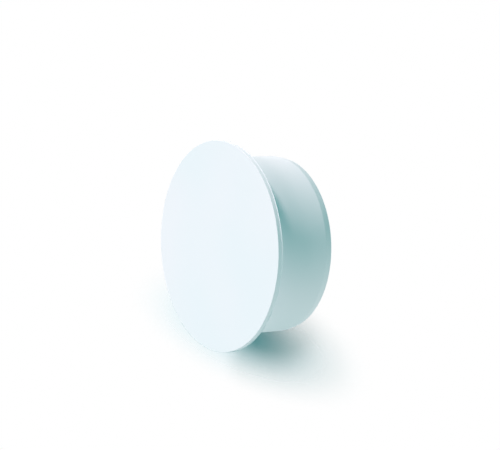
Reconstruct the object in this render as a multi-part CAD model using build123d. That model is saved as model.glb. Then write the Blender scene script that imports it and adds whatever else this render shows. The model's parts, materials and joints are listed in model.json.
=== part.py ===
from build123d import *
import math
import os

# Drain pipe end cap, size 110: a flat round cover with a short open spigot behind it.
# The spigot pushes into a pipe socket until the socket's mouth meets the underside of the cover's overhang.
# It is one injection moulded piece of white polypropylene, turned about Z, in millimetres.
# The cap stands on the open end of its spigot: Z = 0 is that end, and the cover's outer face is on top.

# Driving dimensions
spigot_diameter = 110.0  # outside, for a socket that takes 110 mm pipe
spigot_length = 44.3  # from the underside of the overhang to the open end
spigot_wall = 2.7  # at the open end, before the lead-in
flange_overhang = 10.5  # how far the cover stands out past the spigot
cover_thickness = 3.4
lead_in_length = 4.7  # the taper that finds the socket's mouth
lead_in_angle = 15.0  # degrees from the axis
cavity_draft = 0.5  # degrees, the hollow narrows towards the cover so that it leaves its core
gate_diameter = 5.0  # the stub left inside the cover where the plastic was let in
gate_height = 0.6

# Edges
front_edge_bevel = 0.4  # the outer face ends in a crisp edge, only just broken
back_edge_radius = 1.2  # the overhang's underside is rounded where a thumb or a blade prises it off
lead_in_blend_radius = 3.0  # softens the line where the taper starts
cavity_root_radius = 1.5  # where the spigot's wall runs into the cover
edge_share = 0.4  # an edge of the cover takes at most this share of its thickness

# Radii and heights that follow from them
spigot_radius = spigot_diameter / 2
flange_radius = spigot_radius + flange_overhang
seat_height = spigot_length
cap_height = spigot_length + cover_thickness
lead_in_radius = spigot_radius - lead_in_length * math.tan(math.radians(lead_in_angle))
cavity_mouth_radius = spigot_radius - spigot_wall
cavity_ceiling = seat_height
cavity_root = cavity_mouth_radius - cavity_ceiling * math.tan(math.radians(cavity_draft))
gate_radius = gate_diameter / 2
gate_bottom = cavity_ceiling - gate_height
front_bevel = min(front_edge_bevel, edge_share * cover_thickness)
back_round = min(back_edge_radius, edge_share * cover_thickness)


# Half of the section as corners (radius, height) with the radius that rounds each, from the axis on the
# outer face, round the cover's edge, down the spigot, round its open end and up the hollow to the axis.
def section_corners():
    return [
        ((0, cap_height), None),
        ((flange_radius - front_bevel, cap_height), None),
        ((flange_radius, cap_height - front_bevel), None),
        ((flange_radius, seat_height), back_round),
        ((spigot_radius, seat_height), None),
        ((spigot_radius, lead_in_length), lead_in_blend_radius),
        ((lead_in_radius, 0), None),
        ((cavity_mouth_radius, 0), None),
        ((cavity_root, cavity_ceiling), cavity_root_radius),
        ((gate_radius, cavity_ceiling), None),
        ((gate_radius, gate_bottom), None),
        ((0, gate_bottom), None),
    ]


def half_section():
    corners = section_corners()
    with BuildSketch(Plane.XZ) as section:
        with BuildLine():
            Polyline(*[point for point, radius in corners], close=True)
        make_face()
        for point, radius in corners:
            if radius is not None:
                corner = section.vertices().sort_by_distance((*point, 0))[0]
                fillet(corner, radius)
    return section.sketch


def end_cap():
    with BuildPart() as cap:
        add(half_section())
        revolve(axis=Axis.Z)
    return cap.part


os.makedirs("parts", exist_ok=True)
export_step(end_cap(), "parts/end_cap.step")
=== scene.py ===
import bmesh
import bpy
import json
import math
from mathutils import Matrix, Vector


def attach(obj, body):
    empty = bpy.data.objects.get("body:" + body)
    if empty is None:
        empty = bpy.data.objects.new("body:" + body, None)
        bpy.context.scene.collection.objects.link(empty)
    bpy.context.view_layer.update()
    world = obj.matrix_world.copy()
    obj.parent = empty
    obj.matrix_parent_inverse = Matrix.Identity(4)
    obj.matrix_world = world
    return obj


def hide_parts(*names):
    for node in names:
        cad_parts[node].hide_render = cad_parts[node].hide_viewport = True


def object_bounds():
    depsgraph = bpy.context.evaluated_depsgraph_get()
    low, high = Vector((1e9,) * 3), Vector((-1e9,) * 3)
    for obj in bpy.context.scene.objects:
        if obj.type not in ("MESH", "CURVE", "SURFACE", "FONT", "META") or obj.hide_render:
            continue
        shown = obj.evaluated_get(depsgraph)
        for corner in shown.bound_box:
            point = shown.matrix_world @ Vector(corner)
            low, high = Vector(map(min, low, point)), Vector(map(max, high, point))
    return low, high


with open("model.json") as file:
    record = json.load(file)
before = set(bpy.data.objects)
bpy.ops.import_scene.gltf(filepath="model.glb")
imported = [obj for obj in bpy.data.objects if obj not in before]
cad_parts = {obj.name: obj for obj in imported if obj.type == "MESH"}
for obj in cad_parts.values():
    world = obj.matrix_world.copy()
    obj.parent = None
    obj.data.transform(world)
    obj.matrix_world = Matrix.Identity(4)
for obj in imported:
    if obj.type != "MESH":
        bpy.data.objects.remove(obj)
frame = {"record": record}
cadLow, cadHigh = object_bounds()
mounts = {mount["name"]: mount for mount in frame["record"]["mounts"]}
mm = 0.001
print("frame loaded, cap box", [round(side / mm, 1) for side in cadHigh - cadLow], "mm")

# The cap: one half section, rounded corner by corner and spun about its axis
cap = {
    "flangeRadius": (cadHigh.x - cadLow.x) / 2,
    "height": cadHigh.z,
    "seatHeight": mounts["socket_seat"]["pos_m"][2],
    "spigotRadius": mounts["spigot"]["dims"]["r_mm"] * mm,
    "spigotWall": 2.7 * mm,
    "leadInLength": 4.7 * mm,
    "leadInAngle": 15.0,  # degrees from the axis
    "hollowDraft": 0.5,  # degrees
    "gateRadius": 2.5 * mm,
    "gateHeight": 0.6 * mm,
    "frontRound": 0.18 * mm,  # the cover's crisp front edge
    "partingRidge": 0.2 * mm,  # how far the mould's parting line stands out along the rim's back edge
    "partingWidth": 0.7 * mm,
    "partingRound": 0.08 * mm,
    "backRound": 0.6 * mm,
    "seatRound": 0.3 * mm,
    "leadInRound": 3.0 * mm,
    "rimRound": 0.25 * mm,
    "hollowRound": 1.5 * mm,
    "gateRound": 0.2 * mm,
    "roundSteps": 6,
    "ringGap": 4.0 * mm,
    "turnSteps": 288,
    "weldGap": 0.001 * mm,
}


def sectionCorners(c):
    leadInRadius = c["spigotRadius"] - c["leadInLength"] * math.tan(math.radians(c["leadInAngle"]))
    mouthRadius = c["spigotRadius"] - c["spigotWall"]
    ceiling = c["seatHeight"]
    rootRadius = mouthRadius - ceiling * math.tan(math.radians(c["hollowDraft"]))
    gateBottom = ceiling - c["gateHeight"]
    rimRadius = c["flangeRadius"] - c["partingRidge"]
    partingTop = c["seatHeight"] + c["partingWidth"]
    return [  # radius, height, rounding
        (0, c["height"], 0),
        (rimRadius, c["height"], c["frontRound"]),
        (rimRadius, partingTop, c["partingRound"]),
        (c["flangeRadius"], partingTop, c["partingRound"]),
        (c["flangeRadius"], c["seatHeight"], c["backRound"]),
        (c["spigotRadius"], c["seatHeight"], c["seatRound"]),
        (c["spigotRadius"], c["leadInLength"], c["leadInRound"]),
        (leadInRadius, 0, c["rimRound"]),
        (mouthRadius, 0, c["rimRound"]),
        (rootRadius, ceiling, c["hollowRound"]),
        (c["gateRadius"], ceiling, c["gateRound"]),
        (c["gateRadius"], gateBottom, c["gateRound"]),
        (0, gateBottom, 0),
    ]


def nearest(bm, place):
    return min(bm.verts, key=lambda vert: (vert.co - place).length)


def makeCap(c):
    corners = sectionCorners(c)
    places = [Vector((radius, 0, height)) for radius, height, rounding in corners]
    roundings = [rounding for radius, height, rounding in corners]
    bm = bmesh.new()
    line = [bm.verts.new(place) for place in places]
    for start, end in zip(line, line[1:]):
        bm.edges.new((start, end))
    for before, place, after, rounding in zip(places, places[1:], places[2:], roundings[1:]):
        turn = (place - before).angle(after - place)
        bmesh.ops.bevel(bm, geom=[nearest(bm, place)], offset=rounding * math.tan(turn / 2),
                        offset_type="OFFSET", affect="VERTICES", segments=c["roundSteps"],
                        profile=0.5, material=-1)
    for edge in bm.edges[:]:  # rings share out the long straights
        cuts = int(edge.calc_length() / c["ringGap"])
        if cuts:
            bmesh.ops.subdivide_edges(bm, edges=[edge], cuts=cuts)
    bmesh.ops.spin(bm, geom=bm.verts[:] + bm.edges[:], cent=(0, 0, 0), axis=(0, 0, 1), dvec=(0, 0, 0),
                   angle=2 * math.pi, steps=c["turnSteps"], use_merge=True)
    bmesh.ops.remove_doubles(bm, verts=bm.verts, dist=c["weldGap"])
    bmesh.ops.recalc_face_normals(bm, faces=bm.faces)
    for face in bm.faces:
        face.smooth = True
    mesh = bpy.data.meshes.new("endCap")
    bm.to_mesh(mesh)
    bm.free()
    piece = bpy.data.objects.new("endCap", mesh)
    bpy.context.scene.collection.objects.link(piece)
    weighted = piece.modifiers.new("flatFacesStayFlat", "WEIGHTED_NORMAL")
    weighted.mode = "FACE_AREA"
    print("cap spun,", len(mesh.vertices), "points,", len(mesh.polygons), "faces")
    return piece


# White polypropylene: cool white, satin, with faint clouding and a fine moulded grain
plastic = {
    "lightColor": (0.850, 0.902, 0.944, 1),
    "darkColor": (0.810, 0.898, 0.936, 1),
    "clouds": (80 * mm, 1),  # size and detail of the noise, as for the spots and the grain
    "cloudEdges": (0.35, 0.65),  # the noise values that are all dark and all light
    "spots": (9 * mm, 3),
    "spotRoughness": (0.46, 0.56),  # from the slickest patch to the dullest
    "grain": (0.7 * mm, 2),
    "grainDepth": 0.01 * mm,
    "refraction": 1.49,
    "shine": 0.25,  # 0.5 is all that the refraction gives
}


def makePlastic(p):
    material = bpy.data.materials.new("whitePolypropylene")
    material.use_nodes = True
    nodes, links = material.node_tree.nodes, material.node_tree.links
    shader = nodes["Principled BSDF"]
    shader.inputs["IOR"].default_value = p["refraction"]
    shader.inputs["Specular IOR Level"].default_value = p["shine"]
    place = nodes.new("ShaderNodeTexCoord")

    def noise(size, detail):
        texture = nodes.new("ShaderNodeTexNoise")
        texture.inputs["Scale"].default_value = 1 / size
        texture.inputs["Detail"].default_value = detail
        links.new(place.outputs["Object"], texture.inputs["Vector"])
        return texture.outputs["Fac"]

    contrast = nodes.new("ShaderNodeMapRange")
    contrast.inputs["From Min"].default_value, contrast.inputs["From Max"].default_value = p["cloudEdges"]
    links.new(noise(*p["clouds"]), contrast.inputs["Value"])
    clouds = nodes.new("ShaderNodeMix")
    clouds.data_type = "RGBA"
    clouds.inputs["A"].default_value = p["darkColor"]
    clouds.inputs["B"].default_value = p["lightColor"]
    links.new(contrast.outputs["Result"], clouds.inputs["Factor"])
    links.new(clouds.outputs["Result"], shader.inputs["Base Color"])

    spots = nodes.new("ShaderNodeMapRange")
    spots.inputs["To Min"].default_value, spots.inputs["To Max"].default_value = p["spotRoughness"]
    links.new(noise(*p["spots"]), spots.inputs["Value"])
    links.new(spots.outputs["Result"], shader.inputs["Roughness"])

    grain = nodes.new("ShaderNodeBump")
    grain.inputs["Distance"].default_value = p["grainDepth"]
    links.new(noise(*p["grain"]), grain.inputs["Height"])
    links.new(grain.outputs["Normal"], shader.inputs["Normal"])
    print("plastic mixed")
    return material


# The studio: a dim surround with two pale reflectors, seen as white, and a floor that runs out into it
studio = {
    "white": (1, 1, 1, 1),
    "surround": (0.005, 0.285, 0.268, 1),
    "reflectors": [  # color, where it stands and how narrow it is
        ((2.52, 1.80, 1.83, 1), (-0.82, -0.40, -0.42), 6),
        ((1.05, 0.77, 0.78, 1), (0.10, 0.93, -0.35), 4),
    ],
    "floorSide": 600 * mm,
    # painted shade: the floor patch is tinted blue-green so that its shadow and the haze around it come
    # out blue-green
    "paintedShadeTint": (0.69, 0.875, 0.92, 1),
    "paintedContactShade": (0.0, 0.14, 0.15, 1),  # painted shade: ambient occlusion darkens the floor's colour towards this where the cap's foot keeps the light off
    "contactReach": 160 * mm,
    # two ovals of floor: middle, degrees from X, where it has run out, and what share of that stays whole
    "shadowPatch": ((-57 * mm, 49 * mm, 0), 79.5, (145 * mm, 40 * mm, 1), 0.05),
    "whitePatch": ((0, 70 * mm, 0), 0, (67 * mm, 65 * mm, 1), 0.45),
    "tintDelay": 8,  # keeps the white patch white up to its edge, free of the painted shade tint
}


def reckon(nodes, links, operation, first, second):
    node = nodes.new("ShaderNodeMath")
    node.operation = operation
    for value, socket in zip((first, second), node.inputs):
        if isinstance(value, bpy.types.NodeSocket):
            links.new(value, socket)
        else:
            socket.default_value = value
    return node.outputs["Value"]


def seenDirectly(nodes, links):
    path = nodes.new("ShaderNodeLightPath")
    either = path.outputs["Is Camera Ray"]
    for name in ("Is Glossy Ray", "Is Transmission Ray"):
        either = reckon(nodes, links, "MAXIMUM", either, path.outputs[name])
    return either


def makeSurround(s):
    world = bpy.data.worlds.new("studio")
    bpy.context.scene.world = world
    world.use_nodes = True
    nodes, links = world.node_tree.nodes, world.node_tree.links
    backdrop = nodes["Background"]
    backdrop.inputs["Color"].default_value = s["white"]
    backdrop.inputs["Strength"].default_value = 1.0
    direction = nodes.new("ShaderNodeTexCoord")
    light = nodes.new("ShaderNodeBackground")
    light.inputs["Color"].default_value = s["surround"]
    total = light.outputs["Background"]
    for color, place, focus in s["reflectors"]:
        towards = nodes.new("ShaderNodeVectorMath")
        towards.operation = "DOT_PRODUCT"
        towards.inputs[1].default_value = Vector(place).normalized()
        links.new(direction.outputs["Generated"], towards.inputs[0])
        ahead = reckon(nodes, links, "MAXIMUM", towards.outputs["Value"], 0)
        glow = nodes.new("ShaderNodeBackground")
        glow.inputs["Color"].default_value = color
        links.new(reckon(nodes, links, "POWER", ahead, focus), glow.inputs["Strength"])
        both = nodes.new("ShaderNodeAddShader")
        links.new(total, both.inputs[0])
        links.new(glow.outputs["Background"], both.inputs[1])
        total = both.outputs["Shader"]
    choose = nodes.new("ShaderNodeMixShader")
    links.new(seenDirectly(nodes, links), choose.inputs["Fac"])
    links.new(total, choose.inputs[1])
    links.new(backdrop.outputs["Background"], choose.inputs[2])
    links.new(choose.outputs["Shader"], nodes["World Output"].inputs["Surface"])


def makeFloorPaint(s):
    material = bpy.data.materials.new("whiteFloor")
    material.use_nodes = True
    nodes, links = material.node_tree.nodes, material.node_tree.links
    nodes.remove(nodes["Principled BSDF"])
    place = nodes.new("ShaderNodeTexCoord")

    def fade(middle, turn, reach, whole):
        oval = nodes.new("ShaderNodeMapping")
        oval.vector_type = "TEXTURE"
        oval.inputs["Location"].default_value = middle
        oval.inputs["Rotation"].default_value = (0, 0, math.radians(turn))
        oval.inputs["Scale"].default_value = reach
        links.new(place.outputs["Object"], oval.inputs["Vector"])
        distance = nodes.new("ShaderNodeVectorMath")
        distance.operation = "LENGTH"
        links.new(oval.outputs["Vector"], distance.inputs[0])
        soft = nodes.new("ShaderNodeMapRange")
        soft.interpolation_type = "SMOOTHSTEP"
        soft.inputs["From Min"].default_value = whole
        links.new(distance.outputs["Value"], soft.inputs["Value"])
        return soft.outputs["Result"]

    pastShadow = fade(*s["shadowPatch"])
    pastWhite = fade(*s["whitePatch"])
    # the painted blue-green shade tint of the floor, kept off the white patch
    paint = nodes.new("ShaderNodeMix")
    paint.data_type = "RGBA"
    paint.inputs["A"].default_value = s["white"]
    paint.inputs["B"].default_value = s["paintedShadeTint"]
    links.new(reckon(nodes, links, "POWER", pastWhite, s["tintDelay"]), paint.inputs["Factor"])
    # painted shade: ambient occlusion darkens the floor's colour near the cap's foot
    contact = nodes.new("ShaderNodeAmbientOcclusion")
    contact.inputs["Distance"].default_value = s["contactReach"]
    shaded = nodes.new("ShaderNodeMix")
    shaded.data_type = "RGBA"
    shaded.inputs["A"].default_value = s["paintedContactShade"]
    links.new(paint.outputs["Result"], shaded.inputs["B"])
    links.new(contact.outputs["AO"], shaded.inputs["Factor"])
    matt = nodes.new("ShaderNodeBsdfDiffuse")
    links.new(shaded.outputs["Result"], matt.inputs["Color"])

    clear = nodes.new("ShaderNodeBsdfTransparent")
    side = nodes.new("ShaderNodeNewGeometry")
    pastBoth = reckon(nodes, links, "MULTIPLY", pastShadow, pastWhite)
    gone = reckon(nodes, links, "MAXIMUM", pastBoth, side.outputs["Backfacing"])  # all of it, from below
    choose = nodes.new("ShaderNodeMixShader")
    links.new(gone, choose.inputs["Fac"])
    links.new(matt.outputs["BSDF"], choose.inputs[1])
    links.new(clear.outputs["BSDF"], choose.inputs[2])
    links.new(choose.outputs["Shader"], nodes["Material Output"].inputs["Surface"])
    return material


def makeFloor(s):
    bm = bmesh.new()
    bmesh.ops.create_grid(bm, x_segments=1, y_segments=1, size=s["floorSide"] / 2)
    mesh = bpy.data.meshes.new("floor")
    bm.to_mesh(mesh)
    bm.free()
    mesh.materials.append(makeFloorPaint(s))
    floor = bpy.data.objects.new("floor", mesh)
    bpy.context.scene.collection.objects.link(floor)
    floor.visible_shadow = False  # the surround under it lights the cap from below, as a pale table does
    floor.visible_diffuse = False
    return floor


# Two soft lamps
sideLamp = {
    "name": "sideLamp",
    "azimuth": 2.0,  # degrees from +X towards +Y
    "elevation": 29.0,  # degrees above the floor
    "softness": 14.0,  # degrees across, seen from the cap
    "strength": 3.21,
    "color": (1.0, 0.72, 0.746),
}
topLamp = {
    "name": "topLamp",
    "azimuth": -40.0,
    "elevation": 71.0,
    "softness": 24.0,
    "strength": 1.585,
    "color": (1.0, 0.737, 0.762),
}


def makeLamp(s):
    data = bpy.data.lights.new(s["name"], "SUN")
    data.energy = s["strength"]
    data.angle = math.radians(s["softness"])
    data.color = s["color"]
    lamp = bpy.data.objects.new(s["name"], data)
    bpy.context.scene.collection.objects.link(lamp)
    rise, turn = math.radians(s["elevation"]), math.radians(s["azimuth"])
    away = Vector((math.cos(rise) * math.cos(turn), math.cos(rise) * math.sin(turn), math.sin(rise)))
    lamp.location = away
    lamp.rotation_euler = away.to_track_quat("Z", "Y").to_euler()


# The view: a long lens from above the cover, turned so that the cap's axis lies across the picture
view = {
    "lens": 129.6,  # mm
    "sensor": 36.0,  # mm
    "elevation": 34.56,  # degrees
    "roll": -92.58,  # degrees about the line of sight
    "distance": 1121.6 * mm,
    "aimRight": 0.8 * mm,  # from the cap's middle to the picture's
    "aimUp": 12.3 * mm,
}


def placeCamera(v):
    data = bpy.data.cameras.new("camera")
    data.lens = v["lens"]
    data.sensor_width = v["sensor"]
    camera = bpy.data.objects.new("camera", data)
    bpy.context.scene.collection.objects.link(camera)
    tilt = Matrix.Rotation(math.radians(90 - v["elevation"]), 3, "X")
    turn = tilt @ Matrix.Rotation(math.radians(v["roll"]), 3, "Z")
    aim = (cadLow + cadHigh) / 2 + turn @ Vector((v["aimRight"], v["aimUp"], 0))
    camera.location = aim + turn @ Vector((0, 0, v["distance"]))
    camera.rotation_euler = turn.to_euler()
    bpy.context.scene.camera = camera
    print("camera at", [round(value, 3) for value in camera.location])


endCap = makeCap(cap)
endCap.data.materials.append(makePlastic(plastic))
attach(endCap, "root")
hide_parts("end_cap")

bpy.context.scene.view_settings.view_transform = "Standard"
makeSurround(studio)
makeFloor(studio)
makeLamp(sideLamp)
makeLamp(topLamp)
placeCamera(view)
print("studio set")
